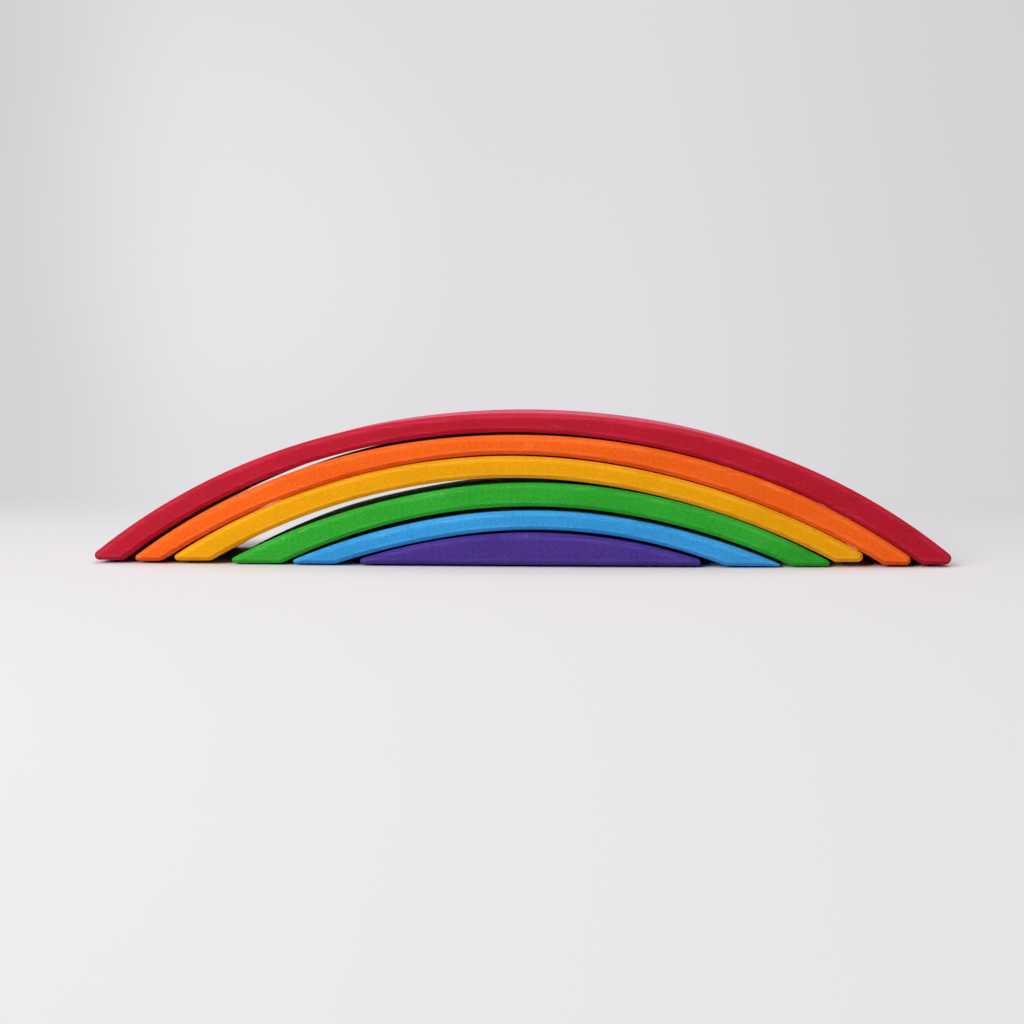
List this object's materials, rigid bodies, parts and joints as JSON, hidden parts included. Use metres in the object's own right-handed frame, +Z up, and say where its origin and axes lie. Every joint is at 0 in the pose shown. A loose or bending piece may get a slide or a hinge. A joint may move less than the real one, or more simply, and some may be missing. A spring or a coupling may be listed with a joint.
{
  "type": "rainbow stacker",
  "caption": "Shallow wooden bridge-shaped rainbow stacker: loose stained arches nested over a solid core, each lifting off the one below it.",
  "frame": {"origin": "on the floor, under the middle of the nested set's box", "axes": "+X along the set from its left foot to its right foot, +Y from the front faces to the back, +Z up"},
  "size_m": [0.4312, 0.071, 0.0762],
  "materials": {
    "purple_stain": "matt stained wood, violet",
    "blue_stain": "matt stained wood, sky blue",
    "green_stain": "matt stained wood, leaf green",
    "yellow_stain": "matt stained wood, golden yellow",
    "orange_stain": "matt stained wood, orange",
    "red_stain": "matt stained wood, crimson"
  },
  "bodies": {
    "core": {"purple_core": "purple_stain"},
    "blue": {"blue_arch": "blue_stain"},
    "green": {"green_arch": "green_stain"},
    "yellow": {"yellow_arch": "yellow_stain"},
    "orange": {"orange_arch": "orange_stain"},
    "red": {"red_arch": "red_stain"}
  },
  "joints": [
    {"name": "blue_lift", "type": "slide", "parent": "core", "child": "blue", "axis": [0, 0, 1], "range_m": [0, 0.02]},
    {"name": "green_lift", "type": "slide", "parent": "blue", "child": "green", "axis": [0, 0, 1], "range_m": [0, 0.032]},
    {"name": "yellow_lift", "type": "slide", "parent": "green", "child": "yellow", "axis": [0, 0, 1], "range_m": [0, 0.046]},
    {"name": "orange_lift", "type": "slide", "parent": "yellow", "child": "orange", "axis": [0, 0, 1], "range_m": [0, 0.058]},
    {"name": "red_lift", "type": "slide", "parent": "orange", "child": "red", "axis": [0, 0, 1], "range_m": [0, 0.07]}
  ]
}
